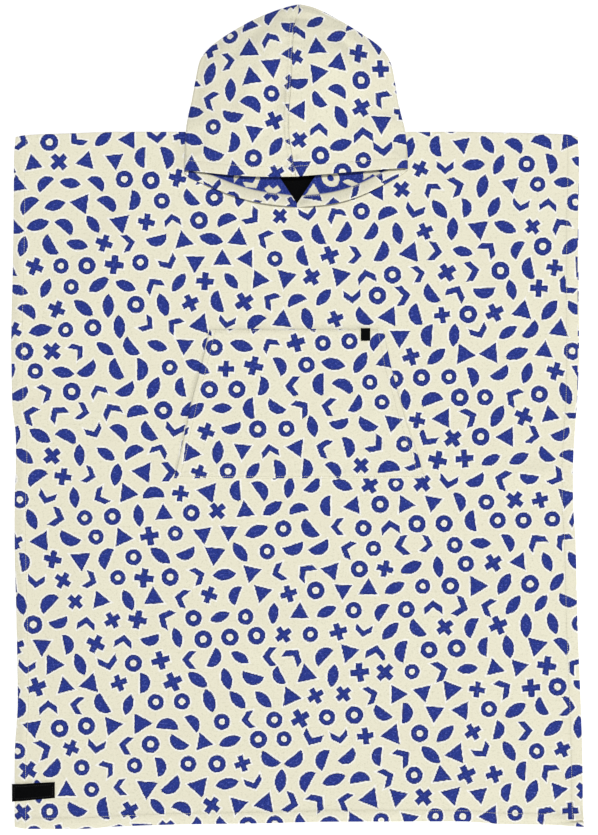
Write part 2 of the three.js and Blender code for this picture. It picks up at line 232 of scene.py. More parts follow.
# Pocket
POCKET = named_columns("y left right", [
    (555, -196, 204),
    (600, -185, 190),
    (646, -175, 174),
    (686, -166, 163),
    (724, -156, 152),
    (793, -139, 138),
])
POCKET_HEM = 12.0
POCKET_STEP = (POCKET_HEM - 3, POCKET_HEM + 2)
POCKET_RISE = {"sides": 0.7, "ends": 0.5}
POCKET_SUNK = {"sides": 0.3, "ends": 0.5, "ends width": 1.6}
POCKET_SEAM = 3.2
POCKET_LUMPS = ((0.3, 40, 23), (0.18, 15, 24))
POCKET_LUMP_FADE = 20
# How far its top corners are below the middle of its top, and the shares where that starts
POCKET_CORNER = {"left": 2.0, "left end": 0.03, "right": 7.0, "right start": 0.955, "low": 0.8}
POCKET_MOUTH = {"lift": 1.4, "reach": 34.0}
# How its folded edges roll down to the front
POCKET_ROLL = {"drop": 2.0, "reach": 2.2}

# Labels, and a black sheet of painted shade inside the neck
POCKET_LABEL = {"x": 109.0, "top": 794.0, "width": 15.0, "height": 20.0}
POCKET_LABEL_CURL = 0.9
SIDE_LABEL = {"left": -454.0, "right": -385.5, "low": (40.0, 46.0), "high": (68.0, 71.5)}
SIDE_LABEL_SIZE = (67, 25)
# A black sheet on the back's inside, in the neck hole: painted shade, standing in for the deep
# shade there
NECK_PAINTED_SHADE = {"half_width": 84.0, "depth": 114.0, "top": 1103.0, "gather": 2, "rim": 3}

# Sewing
STITCH = {"pitch": 3.6, "length": 2.9, "radius": 0.36}
STITCH_RINGS = named_columns("along radius lift", [
    (0, 0.35, -0.3),
    (0.2, 1, 0.22),
    (0.8, 1, 0.22),
    (1, 0.35, -0.3),
])
STITCH_SIDES = 6

# Distances from an edge at which a fine mesh has its lines
EDGE_LINES = np.array([
    0, 0.25, 0.7, 1.4, 2.6, 4, 5.5, 7, 9, 10.8, 12.4, 14,
    16, 17.6, 18.6, 19.4, 20, 20.6, 21.6, 24, 28,
])
TOP_EDGE_LINES = EDGE_LINES[:12]
SEAM_LINES = np.array([0, 0.3, 0.8, 1.6, 2.6, 3.6, 4.6, 5.6, 6.6, 7.6, 8.4, 9.4, 11, 13.5])
POCKET_LINES = np.array([
    0, 0.25, 0.7, 1.4, 2.4, 3.2, 4.2, 5.4, 7.4, 9, 9.8, 10.6, 11.6, 12.8, 15,
])
THIN_EDGE_LINES = np.array([0, 0.2, 0.5, 1.0, 2.2, 3.6, 5])
# Which of the thin edge lines a label is sewn along
LABEL_SEAM = 5
# Distances between a mesh's lines away from its edges
BACK_STEP = 11
FRONT_STEP = 6.4
POCKET_STEPS = {"up": 4.2, "across": 4.4, "margin": 20}
# Lengths that turn distances into shares of the pocket's width and of a hood layer's depth
POCKET_SPREAD = 330.0
HOOD_SPREAD = 170
PEAK_STOPS = (0, 0.006, 0.012, 0.02, 0.03)
FACE_STOPS = np.arange(0, 0.1, 0.0032)
FOLD_ANGLES = np.linspace(-81, 81, 11)
# Where each piece lies in the cloth's pattern
PATTERN_AT = {"back": (620, 90), "front": (19, -13), "hood": (45, 1510), "pocket": (13, -9)}

# Photograph, and the camera that looks straight down as it does
IMAGE = {"height": 835, "centre_x": 299.0, "centre_y": 417.5}
MM_PER_PIXEL = 1.5957
PHOTO_ZERO = {"x": 297.0, "y": 826.0}
LENS = 60.0
SENSOR = 36.0

# Colours, as linear light
CREAM = (0.656, 0.6345, 0.498)
CREAM_SHADE = (0.453, 0.438, 0.314)
CREAM_RIM = (0.765, 0.76, 0.725)
BLUE = (0.0128, 0.029, 0.215)
BLUE_FLECK = (0.070, 0.099, 0.383)
BLUE_SHADE = (0.0030, 0.006, 0.070)
BLACK = (0.0008, 0.0008, 0.001)
BLACK_FLECK = (0.004, 0.004, 0.0045)
THREAD = (0.616, 0.594, 0.458)
DARK_THREAD = (0.003, 0.003, 0.0035)
CREAM_CLOUD = (0.634, 0.59, 0.466)
FLOOR_WHITE = (0.97, 0.97, 0.97)

# Floor and lights, in metres and watts
FLOOR = {"half": 30.0, "z": -0.0004}
SOFTBOXES = (
    ("overhead", (0.1, 1.1, 6.4), (0, 0.1, 0), 0.7, 378),
    ("low", (1.2, -10.0, 3.4), (0, 0, 0), 2.4, 470),
    ("right", (4.6, -2.4, 3.2), (0, 0, 0), 1.6, 104),
    ("left", (-5.0, -1.0, 4.0), (0, 0, 0), 2.0, 38),
)
SKY_STRENGTH = 0.068


def smooth(table, key, column, place):
    """One column of a table at places between its rows, on a curve with no overshoot."""
    x, y = table[key], table[column]
    slope = np.diff(y) / np.diff(x)
    same = slope[:-1] * slope[1:] > 0
    total = np.where(same, slope[:-1] + slope[1:], 1)
    middle = np.where(same, 2 * slope[:-1] * slope[1:] / total, 0)
    tangent = np.concatenate([slope[:1], middle, slope[-1:]])
    place = np.clip(place, x[0], x[-1])
    i = np.clip(np.searchsorted(x, place, side="right") - 1, 0, len(x) - 2)
    span = x[i + 1] - x[i]
    t = (place - x[i]) / span
    rest = 1 - t
    ends = y[i] * (1 + 2 * t) * rest**2 + y[i + 1] * (3 - 2 * t) * t**2
    return ends + span * tangent[i] * t * rest**2 - span * tangent[i + 1] * t**2 * rest


def ease(value, start, end):
    t = np.clip((value - start) / (end - start), 0, 1)
    return t * t * (3 - 2 * t)


def mounds(table, x, y):
    """Height at places of soft mounds or hollows, from a table of them."""
    height = np.zeros(np.broadcast(x, y).shape)
    for px, py, turn, length, width, rise in zip(*(table[name] for name in MOUND.split())):
        c, s = math.cos(math.radians(turn)), math.sin(math.radians(turn))
        along = (x - px) * c + (y - py) * s
        across = (y - py) * c - (x - px) * s
        height = height + rise * np.exp(-((along / length) ** 2) - (across / width) ** 2)
    return height


def unevenness(x, y, size, seed, waves=7):
    """Soft random swelling, mostly between -1 and 1, with lumps of about the given size."""
    random = np.random.default_rng(seed)
    total = np.zeros(np.broadcast(x, y).shape)
    for _ in range(waves):
        turn, phase = random.uniform(0, 2 * math.pi, 2)
        length = size * random.uniform(1.4, 3.0)
        across = x * math.cos(turn) + y * math.sin(turn)
        total = total + np.sin(2 * math.pi * across / length + phase)
    return total / math.sqrt(waves)


def with_lumps(height, x, y, table):
    """A height with unevenness added, from a table of heights, sizes and seeds."""
    for rise, size, seed in table:
        height = height + rise * unevenness(x, y, size, seed)
    return height


def puckers(along, distance, line, reach, seed):
    """Small gathers that sewing leaves beside a line of stitches, across that line."""
    wander = unevenness(along, 0 * along, 60, seed)
    strength = 0.65 + 0.35 * unevenness(along, 0 * along, 90, seed + 1)
    wave = np.sin(2 * math.pi * along / PUCKER["pitch"] + PUCKER["wander"] * wander) * strength
    return wave * np.exp(-(((distance - line) / reach) ** 2))


def furrow(distance, depth, width):
    """Depth of a soft furrow along the line where a distance is nought."""
    return depth * np.exp(-((distance / width) ** 2))


def shoulder_y(x):
    return SHOULDER_Y + smooth(ENDS, "x", "shoulder", x)


def hem_y(x):
    return smooth(ENDS, "x", "hem", x)


def pressed_off(distance):
    """Thickness that pressing takes off one wall at a distance from a hem's folded edge."""
    return CLOTH_WALL * (1 - PRESSED["wall"]) * (1 - ease(distance, 0, PRESSED["reach"]))


def front_under(x, y):
    """Underside of the front: on the back where they are sewn, a little loose elsewhere."""
    left, right = smooth(SIDES, "y", "left", y), smooth(SIDES, "y", "right", y)
    seam_fade = ease(np.minimum(x - left, right - x), 0, SEWN_EDGE_FADE)
    open_fade = np.maximum(seam_fade, ease(y, ARMHOLE_BOTTOM_Y, ARMHOLE_OPEN_Y))
    side_fade = np.where(y > ARMHOLE_BOTTOM_Y, open_fade, seam_fade)
    shoulder_fade = ease(SHOULDER_Y - y, 0, SEWN_EDGE_FADE)
    neck_fade = ease(np.hypot(x, y - NECK_LIFT["y"]), NECK_LIFT["full"], NECK_LIFT["gone"])
    loose = mounds(RISES, x, y) * side_fade * shoulder_fade * neck_fade
    corner = ease(x, CORNER_LIFT["from"], CORNER_LIFT["full"])
    corner = corner * (1 - ease(y, CORNER_LIFT["low"], CORNER_LIFT["high"]))
    loose = loose + CORNER_LIFT["rise"] * corner
    return CLOTH_WALL + SEAM_GAP + loose + NECK_LIFT["height"] * (1 - neck_fade)


def front_top(x, y):
    return front_under(x, y) + CLOTH_WALL


def front_distances(x, y):
    """How far places on the front are from its left side, its right side and its hem."""
    left = smooth(SIDES, "y", "left", y)
    right = smooth(SIDES, "y", "right", y) - smooth(SIDES, "y", "peek", y)
    return x - left, right - x, y - hem_y(x)


def front_face(x, y):
    """Outer face of the front, with its turned hems, its creases and the pull of the sewing."""
    from_left, from_right, from_hem = front_distances(x, y)
    side = np.minimum(from_left, from_right)
    nearest = np.minimum(side, from_hem)
    hem = HEM_RISE * (1 - ease(nearest, *HEM_STEP))
    sunk = furrow(nearest - HEM_STITCH_LINE, FURROW["depth"], FURROW["width"])
    gathers = 0.30 * puckers(y, side, HEM_STITCH_LINE, reach=9, seed=11)
    gathers = gathers + 0.34 * puckers(x, from_hem, HEM_STITCH_LINE, reach=9, seed=12)
    calm = 1 - ease(np.abs(x), *HOOD_CALM["x"]) * ease(y, *HOOD_CALM["y"])
    small = with_lumps(mounds(CREASES, x, y), x, y, FRONT_LUMPS)
    small = small * calm * ease(nearest, 0, LUMP_FADE)
    return front_top(x, y) + hem - sunk + gathers + small


def pocket_edges(y):
    return smooth(POCKET, "y", "left", y), smooth(POCKET, "y", "right", y)


def pocket_under(x, y):
    """Underside of the pocket: on the front, a little open along its slanted sides."""
    left, right = pocket_edges(y)
    bottom, top = POCKET["y"][0], POCKET["y"][-1]
    middle = np.sin(math.pi * np.clip((y - bottom) / (top - bottom), 0, 1)) ** 2
    side = np.minimum(x - left, right - x)
    mouth = POCKET_MOUTH["lift"] * middle * (1 - ease(side, 0, POCKET_MOUTH["reach"]))
    return front_top(x, y) + LAY_GAP + mouth


def pocket_face(x, y):
    """Outer face of the pocket, with its turned hems, its creases and the pull of the sewing."""
    left, right = pocket_edges(y)
    side = np.minimum(x - left, right - x)
    ends = np.minimum(y - POCKET["y"][0], POCKET["y"][-1] - y)
    hem = POCKET_RISE["sides"] * (1 - ease(side, *POCKET_STEP))
    rim = POCKET_RISE["ends"] * (1 - ease(ends, *POCKET_STEP))
    sunk = furrow(side - POCKET_HEM + STITCH_INSET, POCKET_SUNK["sides"], FURROW["width"])
    sewn = furrow(ends - POCKET_SEAM, POCKET_SUNK["ends"], POCKET_SUNK["ends width"])
    gathers = 0.26 * puckers(y, side, POCKET_HEM, reach=7, seed=21)
    gathers = gathers + 0.28 * puckers(x, ends, 4, reach=8, seed=22)
    small = with_lumps(0, x, y, POCKET_LUMPS) + mounds(CREASES, x, y)
    small = small * ease(ends, 0, POCKET_LUMP_FADE)
    return pocket_under(x, y) + CLOTH_WALL + np.maximum(hem, rim) - sunk - sewn + gathers + small


def hood_under(x, y):
    """Underside of the hood's lower layer: on the floor, then over the shoulder and the front."""
    on_front = front_top(x, np.minimum(y, SHOULDER_Y)) + LAY_GAP
    over_shoulder = ease(np.abs(x), CLIMB["inner"], CLIMB["outer"])
    over_shoulder = over_shoulder * (1 - ease(y, CLIMB["high"], CLIMB["low"]))
    return np.where(y < SHOULDER_Y, on_front, on_front * over_shoulder)


# Meshes

def shift_to_frame():
    """From the middle of the hem to the frame's origin, worked out from two of its nodes."""
    back_low, hood_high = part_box("back")[0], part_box("hood_left")[1]
    half_wall = CLOTH_WALL / 2
    x = back_low.x / MM - SIDES["left"].min()
    y = hood_high.y / MM - HOOD["foldY"][0] - half_wall
    return np.array([x, y, 0])


SHIFT = shift_to_frame()


def to_frame(points):
    return (np.asarray(points, float) + SHIFT) * MM


def add_object(name, data):
    made = bpy.data.objects.new(name, data)
    bpy.context.scene.collection.objects.link(made)
    return made


def add_piece(name, points, faces, materials, face_material=None, uv=None, numbers=None):
    """A mesh from points in millimetres, with its texture places and named numbers for points."""
    mesh = bpy.data.meshes.new(name)
    corners = faces.tolist() if hasattr(faces, "tolist") else faces
    mesh.from_pydata(to_frame(points).tolist(), [], corners)
    for material in materials:
        mesh.materials.append(material)
    if face_material is not None:
        mesh.polygons.foreach_set("material_index", np.asarray(face_material, np.int32))
    if uv is not None:
        of_point = np.empty(len(mesh.loops), np.int32)
        mesh.loops.foreach_get("vertex_index", of_point)
        places = (uv[of_point] * MM).astype(np.float32).ravel()
        mesh.uv_layers.new(name="cloth").data.foreach_set("uv", places)
    for key, values in (numbers or {}).items():
        attribute = mesh.attributes.new(key, "FLOAT", "POINT")
        attribute.data.foreach_set("value", values.astype(np.float32))
    mesh.polygons.foreach_set("use_smooth", np.ones(len(mesh.polygons), bool))
    mesh.update()
    return add_object(name, mesh)


def face_outward(piece):
    work = bmesh.new()
    work.from_mesh(piece.data)
    bmesh.ops.recalc_face_normals(work, faces=work.faces)
    work.to_mesh(piece.data)
    work.free()


def shell(name, outer, inner, uv, materials, numbers=None):
    """Closed cloth between an outer and an inner grid of points. The edge strip is outer cloth."""
    rows, columns = outer.shape[:2]
    place = np.arange(rows * columns).reshape(rows, columns)
    quads = np.stack([place[:-1, :-1], place[:-1, 1:], place[1:, 1:], place[1:, :-1]], -1)
    quads = quads.reshape(-1, 4)
    rim = np.concatenate([place[0, :-1], place[:-1, -1], place[-1, :0:-1], place[:0:-1, 0]])
    after = np.roll(rim, -1)
    strip = np.stack([rim, rim + rows * columns, after + rows * columns, after], -1)
    faces = np.concatenate([quads, quads[:, ::-1] + rows * columns, strip])
    which = np.concatenate([np.zeros(len(quads)), np.ones(len(quads)), np.zeros(len(strip))])
    points = np.concatenate([outer.reshape(-1, 3), inner.reshape(-1, 3)])
    both = np.concatenate([uv.reshape(-1, 2)] * 2)
    doubled = {key: np.concatenate([value.ravel()] * 2) for key, value in (numbers or {}).items()}
    if len(materials) == 1:
        which = np.zeros(len(faces))
    piece = add_piece(name, points, faces, materials, which, both, doubled)
    face_outward(piece)
    return piece


def roundness(distance, wall):
    """Share of the wall's thickness left at a distance from a cut or folded edge."""
    radius = wall * ROUNDING["reach"]
    t = np.clip(1 - distance / radius, 0, 1)
    return np.sqrt(np.clip(1 - ROUNDING["loss"] * t * t, 0, 1))


def laid_shell(name, x, y, bottom, top, distance, uv, materials, numbers=None):
    """Closed cloth over places seen from above, rounded off towards its edges."""
    middle = (bottom + top) / 2
    half = (top - bottom) / 2 * roundness(distance, CLOTH_WALL)
    outer = np.stack([x, y, middle + half], -1)
    inner = np.stack([x, y, middle - half], -1)
    return shell(name, outer, inner, uv, materials, numbers), outer


def spaced(start, end, step):
    count = max(2, int(round((end - start) / step)) + 1)
    return np.linspace(start, end, count)


def line_across(points, normals, measure, value):
    """Points where each row of a grid crosses a value of a measure that grows along the row."""
    line, ups = [], []
    for row, ways, distance in zip(points, normals, measure):
        if distance.min() > value or distance.max() < value:
            continue
        k = int(np.argmax(distance >= value))
        if k == 0:
            continue
        t = (value - distance[k - 1]) / max(1e-6, distance[k] - distance[k - 1])
        line.append(row[k - 1] * (1 - t) + row[k] * t)
        ups.append(ways[k - 1] * (1 - t) + ways[k] * t)
    return np.array(line), np.array(ups)


def line_from(edge, points, normals, measure, value):
    """The line at a distance from a grid's left, right, low or high edge."""
    grids = [points, normals, measure]
    if edge in ("low", "high"):
        grids = [grid.swapaxes(0, 1) for grid in grids]
    if edge in ("right", "high"):
        grids = [grid[:, ::-1] for grid in grids]
    return line_across(*grids, value)


def stitches(name, lines, material):
    """Threads of lockstitch along lines, each line being its points and the cloth's normals."""
    ring = STITCH_RINGS
    turn = np.arange(STITCH_SIDES) * 2 * math.pi / STITCH_SIDES
    points, count = [], 0
    for places, ups in lines:
        run = np.concatenate([[0], np.cumsum(np.linalg.norm(np.diff(places, axis=0), axis=1))])
        starts = np.arange(STITCH["pitch"] / 2, run[-1] - STITCH["length"], STITCH["pitch"])
        at = starts[:, None] + ring["along"] * STITCH["length"]
        centre = np.stack([np.interp(at, run, places[:, i]) for i in range(3)], -1)
        up = np.stack([np.interp(at, run, ups[:, i]) for i in range(3)], -1)
        up /= np.linalg.norm(up, axis=-1, keepdims=True)
        ahead = centre[:, -1:] - centre[:, :1]
        ahead = ahead / np.linalg.norm(ahead, axis=-1, keepdims=True)
        side = np.cross(ahead, up)
        side /= np.linalg.norm(side, axis=-1, keepdims=True)
        radius = (ring["radius"] * STITCH["radius"])[:, None, None]
        circle = np.cos(turn)[:, None] * side[:, :, None] + np.sin(turn)[:, None] * up[:, :, None]
        lifted = (centre + up * ring["lift"][:, None])[:, :, None]
        points.append((lifted + circle * radius).reshape(-1, 3))
        count += len(starts)
    rings = len(ring["along"])
    base = (np.arange(count) * rings * STITCH_SIDES)[:, None, None]
    level = (np.arange(rings - 1) * STITCH_SIDES)[:, None]
    k = np.arange(STITCH_SIDES)
    nxt = (k + 1) % STITCH_SIDES
    corners = [level + k, level + nxt, level + STITCH_SIDES + nxt, level + STITCH_SIDES + k]
    sides = np.stack([base + corner for corner in corners], -1).reshape(-1, 4)
    ends = [base[:, :, 0] + k[::-1], base[:, :, 0] + (rings - 1) * STITCH_SIDES + k]
    caps = np.concatenate(ends).tolist()
    piece = add_piece(name, np.concatenate(points), sides.tolist() + caps, [material])
    return piece


# Materials

VECTOR_MATH = "ShaderNodeVectorMath"


def fill(tree, node, inputs):
    """Gives inputs of a node their links or constants."""
    for place, value in inputs.items():
        if isinstance(value, Sum):
            value = value.socket
        if isinstance(value, bpy.types.NodeSocket):
            tree.links.new(value, node.inputs[place])
        else:
            node.inputs[place].default_value = value
    return node


def new_node(tree, kind, inputs, operation=None):
    node = tree.nodes.new(kind)
    if operation:
        node.operation = operation
    return fill(tree, node, inputs)


class Sum:
    """A number in a node tree, so that a formula on it reads as arithmetic."""

    def __init__(self, tree, socket):
        self.tree, self.socket = tree, socket

    def do(self, operation, *others):
        inputs = dict(enumerate((self, *others)))
        return Sum(self.tree, new_node(self.tree, "ShaderNodeMath", inputs, operation).outputs[0])

    def __add__(self, other):
        return self.do("ADD", other)

    def __sub__(self, other):
        return self.do("SUBTRACT", other)

    def __mul__(self, other):
        return self.do("MULTIPLY", other)

    def __truediv__(self, other):
        return self.do("DIVIDE", other)

    def size(self):
        return self.do("ABSOLUTE")

    def least(self, other):
        return self.do("MINIMUM", other)

    def most(self, other):
        return self.do("MAXIMUM", other)

    def soft_step(self, start, end):
        node = self.tree.nodes.new("ShaderNodeMapRange")
        node.interpolation_type = "SMOOTHSTEP"
        fill(self.tree, node, {"Value": self, "From Min": start, "From Max": end})
        return Sum(self.tree, node.outputs[0])


def root_of_squares(a, b):
    return (a * a + b * b).do("SQRT")


def join(tree, x, y):
    return new_node(tree, "ShaderNodeCombineXYZ", {0: x, 1: y}).outputs[0]


def noise(tree, vector, scale, detail=2.0, stretch=(1, 1, 1)):
    spread = new_node(tree, VECTOR_MATH, {0: vector, 1: stretch}, "MULTIPLY").outputs[0]
    inputs = {"Vector": spread, "Scale": scale, "Detail": detail}
    return Sum(tree, new_node(tree, "ShaderNodeTexNoise", inputs).outputs["Fac"])


def mixed(tree, share, first, second):
    """A first colour with a share of a second one over it."""
    node = tree.nodes.new("ShaderNodeMix")
    node.data_type = "RGBA"
    first, second = ((*c, 1) if isinstance(c, tuple) else c for c in (first, second))
    return fill(tree, node, {"Factor": share, "A": first, "B": second}).outputs["Result"]


# The motif: a generic set of small cut shapes, each in its own cell of a half-drop repeat
PITCH = {"x": 38.5, "y": 37.0}
LATTICE_TURN = math.radians(28)
MOTIF_SCALE = (0.87, 1.05)
MOTIF_STRAY = 4.0
THREAD_CELL = 1.5
THREAD_WANDER = 1.3
# Distances from a motif's edge at which its colour turns, its pale rim and its dark outline
MOTIF_EDGE = 0.4
RIM = {"at": 1.2, "gone": 1.8, "full": 0.5, "share": 0.9}
OUTLINE = {"inside": 1.1, "gone": 1.6, "full": 0.3, "share": 0.6}
WEAVE = {"grain": 0.45, "fleck": 0.35, "rib": 0.35, "rim": 0.25, "motif": 0.12}


def leaf(x, y, offset=15.6, radius=24.6):
    return root_of_squares(x, y.size() + offset).do("SUBTRACT", radius)


def triangle(x, y, inner_radius=9.4):
    return ((x.size() * 0.866) + (y * 0.5)).most(y * -1.0) - inner_radius


def ring(x, y, radius=9.6, half_width=4.3):
    return (root_of_squares(x, y) - radius).size() - half_width


def half_moon(x, y, low=8.0, radius=17.5):
    return (root_of_squares(x, y + low) - radius).most((y + low) * -1.0)


def cross(x, y, half_width=5.0, reach=14.5):
    upright = (x.size() - half_width).most(y.size() - reach)
    level = (y.size() - half_width).most(x.size() - reach)
    return upright.least(level)


def chevron(x, y, slope=0.8, rise=5.0, squareness=0.78, half_width=4.6, reach=15.0):
    bent = (y + x.size() * slope - rise).size() * squareness
    return (bent - half_width).most(x.size() - reach)


MOTIFS = (leaf, triangle, ring, half_moon, cross, chevron)


def motif_distance(tree, place):
    """How far a place on the cloth is outside the nearest motif, in millimetres."""
    apart = new_node(tree, "ShaderNodeSeparateXYZ", {0: place})
    flat_x, flat_y = Sum(tree, apart.outputs[0]), Sum(tree, apart.outputs[1])
    u = flat_x * math.cos(LATTICE_TURN) + flat_y * math.sin(LATTICE_TURN)
    v = flat_y * math.cos(LATTICE_TURN) - flat_x * math.sin(LATTICE_TURN)
    across = u / PITCH["x"]
    column = across.do("FLOOR")
    up = v / PITCH["y"] + column.do("FLOORED_MODULO", 2.0) * 0.5
    row = up.do("FLOOR")
    chance = tree.nodes.new("ShaderNodeTexWhiteNoise")
    chance.noise_dimensions = "2D"
    fill(tree, chance, {"Vector": join(tree, column, row)})
    parts = new_node(tree, "ShaderNodeSeparateColor", {0: chance.outputs["Color"]})
    pick, spin, swell = (Sum(tree, parts.outputs[i]) for i in range(3))
    stray_x = ((spin * 7.0).do("FRACT") - 0.5) * MOTIF_STRAY
    stray_y = ((swell * 9.0).do("FRACT") - 0.5) * MOTIF_STRAY
    local_x = (across - column - 0.5) * PITCH["x"] + stray_x
    local_y = (up - row - 0.5) * PITCH["y"] + stray_y
    scale = swell * (MOTIF_SCALE[1] - MOTIF_SCALE[0]) + MOTIF_SCALE[0]
    angle = spin * (2 * math.pi)
    c, s = angle.do("COSINE"), angle.do("SINE")
    x = (local_x * c + local_y * s) / scale
    y = (local_y * c - local_x * s) / scale
    kind = (pick * float(len(MOTIFS))).do("FLOOR")
    total = None
    for number, motif in enumerate(MOTIFS):
        chosen = motif(x, y) * kind.do("COMPARE", float(number), 0.5)
        total = chosen if total is None else total + chosen
    return total * scale


def plain_material(name, colour, roughness, sheen=0.0, shine=0.25):
    material = bpy.data.materials.new(name)
    material.use_nodes = True
    shader = fill(material.node_tree, material.node_tree.nodes["Principled BSDF"], {
        "Base Color": (*colour, 1),
        "Roughness": roughness,
        "Specular IOR Level": shine,
        "Sheen Weight": sheen,
        "Sheen Roughness": 0.5,
    })
    return material, material.node_tree, shader


def cloth_place(tree):
    """Place on the cloth in millimetres, from its own texture coordinates."""
    coordinates = tree.nodes.new("ShaderNodeUVMap")
    coordinates.uv_map = "cloth"
    inputs = {0: coordinates.outputs[0], "Scale": 1 / MM}
    return new_node(tree, VECTOR_MATH, inputs, "SCALE").outputs[0]


def woven_place(tree, place):
    """Place on the cloth, a little astray and in steps of a thread, as a loom draws a shape."""
    chance = new_node(tree, "ShaderNodeTexNoise", {"Vector": place, "Scale": 0.16, "Detail": 2.0})
    span, low = (2 * THREAD_WANDER,) * 3, (-THREAD_WANDER,) * 3
    inputs = {0: chance.outputs["Color"], 1: span, 2: low}
    stray = new_node(tree, VECTOR_MATH, inputs, "MULTIPLY_ADD").outputs[0]
    moved = new_node(tree, VECTOR_MATH, {0: place, 1: stray}, "ADD").outputs[0]
    cell = (THREAD_CELL, THREAD_CELL, 1)
    return new_node(tree, VECTOR_MATH, {0: moved, 1: cell}, "SNAP").outputs[0]


def add_bump(tree, shader, height, strength, depth):
    inputs = {"Strength": strength, "Distance": depth * MM, "Height": height}
    bump = new_node(tree, "ShaderNodeBump", inputs)
    tree.links.new(bump.outputs[0], shader.inputs["Normal"])


def towelling(name, inside):
    """Reversible jacquard: blue motifs on cream outside, cream on blue inside, hems turned over."""
    material, tree, shader = plain_material(name, CREAM, 0.95, sheen=0.08)
    place = cloth_place(tree)
    distance = motif_distance(tree, woven_place(tree, place))
    motif = distance.soft_step(MOTIF_EDGE, -MOTIF_EDGE)
    rim = (distance - RIM["at"]).size().soft_step(RIM["gone"], RIM["full"])
    outline = (distance + OUTLINE["inside"]).size().soft_step(OUTLINE["gone"], OUTLINE["full"])
    blue = motif
    if inside:
        turned = tree.nodes.new("ShaderNodeAttribute")
        turned.attribute_name = "hem"
        over = Sum(tree, turned.outputs["Fac"]).soft_step(0.1, -0.1)
        blue = (motif - over).size() * -1.0 + 1.0
    grain = noise(tree, place, 0.62, 2.0, (1, 0.8, 1))
    fleck = noise(tree, place, 0.30, 3.0, (0.8, 1, 1))
    cloud = noise(tree, place, 0.012, 2.0)
    blue_colour = mixed(tree, fleck.soft_step(0.50, 0.74), BLUE, BLUE_FLECK)
    blue_colour = mixed(tree, grain.soft_step(0.52, 0.30) * 0.9, blue_colour, BLUE_SHADE)
    blue_colour = mixed(tree, outline * OUTLINE["share"], blue_colour, BLUE_SHADE)
    cream_colour = mixed(tree, fleck.soft_step(0.50, 0.74) * 0.5, CREAM, CREAM_SHADE)
    cream_colour = mixed(tree, grain.soft_step(0.52, 0.75) * 0.5, cream_colour, CREAM_SHADE)
    cream_colour = mixed(tree, cloud.soft_step(0.35, 0.7) * 0.25, cream_colour, CREAM_CLOUD)
    cream_colour = mixed(tree, rim * (motif * -1.0 + 1.0) * RIM["share"], cream_colour, CREAM_RIM)
    colour = mixed(tree, blue, cream_colour, blue_colour)
    tree.links.new(colour, shader.inputs["Base Color"])
    rib = noise(tree, place, 0.8, 2.0, (0.35, 1.5, 1))
    weave = grain * WEAVE["grain"] + fleck * WEAVE["fleck"] + rib * WEAVE["rib"]
    weave = weave - rim * WEAVE["rim"] + motif * WEAVE["motif"]
    add_bump(tree, shader, weave, 0.6, 1.0)
    return material


def ribbon(name):
    """Plain black woven ribbon, finely ribbed across. The same black is laid inside the neck as
    painted shade.
    """
    material, tree, shader = plain_material(name, BLACK, 0.85, shine=0.04)
    place = cloth_place(tree)
    wave = tree.nodes.new("ShaderNodeTexWave")
    wave.bands_direction = "Y"
    fill(tree, wave, {"Vector": place, "Scale": 0.45, "Distortion": 0.6})
    height = Sum(tree, wave.outputs["Fac"]) * 0.6 + noise(tree, place, 0.9, 2.0) * 0.4
    add_bump(tree, shader, height, 0.4, 0.25)
    grain = noise(tree, place, 0.7, 2.0)
    colour = mixed(tree, grain.soft_step(0.4, 0.8), BLACK, BLACK_FLECK)
    tree.links.new(colour, shader.inputs["Base Color"])
    return material


def sewing_thread(name, colour):
    """Twisted sewing thread."""
    material, tree, shader = plain_material(name, colour, 0.7, sheen=0.1)
    coordinates = tree.nodes.new("ShaderNodeTexCoord")
    twist = noise(tree, coordinates.outputs["Object"], 2600.0, 1.0)
    shade = mixed(tree, twist.soft_step(0.3, 0.7), tuple(0.75 * c for c in colour), colour)
    tree.links.new(shade, shader.inputs["Base Color"])
    add_bump(tree, shader, twist, 0.5, 0.15)
    return material


OUTSIDE = towelling("towelling_outside", False)
INSIDE = towelling("towelling_inside", True)
# The black ribbon is real on the labels and painted shade on the black sheet inside the neck
RIBBON_AND_PAINTED_SHADE = ribbon("black_ribbon_and_painted_shade")
CREAM_THREAD = sewing_thread("cream_thread", THREAD)
BLACK_THREAD = sewing_thread("black_thread", DARK_THREAD)


# Camera

def add_camera():
    """Straight above the garment, at the photograph's scale and framing."""
    data = bpy.data.cameras.new("camera")
    data.lens = LENS
    data.sensor_width = SENSOR
    data.sensor_fit = "AUTO"
    camera = add_object("camera", data)
    height = IMAGE["height"] * MM_PER_PIXEL * LENS / SENSOR
    x = (IMAGE["centre_x"] - PHOTO_ZERO["x"]) * MM_PER_PIXEL
    y = (PHOTO_ZERO["y"] - IMAGE["centre_y"]) * MM_PER_PIXEL
    camera.location = Vector(to_frame([x, y, height]))
    bpy.context.scene.camera = camera


add_camera()


# Body panels

def panel_places(stops, shares, top_edge, peek):
    """Places on a body panel: columns spread between its sides, rows between hem and top edge."""
    stop, share = np.meshgrid(stops, shares)
    low = hem_y(stop)
    y = low + (top_edge(stop) - low) * share
    left = smooth(SIDES, "y", "left", y)
    right = smooth(SIDES, "y", "right", y) - peek * smooth(SIDES, "y", "peek", y)
    stretch = np.where(stop < 0, -left, right) - HALF_WIDTH
    x = stop + np.sign(stop) * stretch * ease(np.abs(stop), NECK_HALF_WIDTH, HALF_WIDTH)
    return x, y


def panel_edge_distance(stops, shares):
    """Roughly how far each place of a panel is from its nearest edge."""
    stop, share = np.meshgrid(stops, shares)
    slant = np.where(np.abs(stop) < NECK_HALF_WIDTH, 0.55, 1)
    ends = np.minimum(share, (1 - share) * slant) * SHOULDER_Y
    return np.minimum(HALF_WIDTH - np.abs(stop), ends)


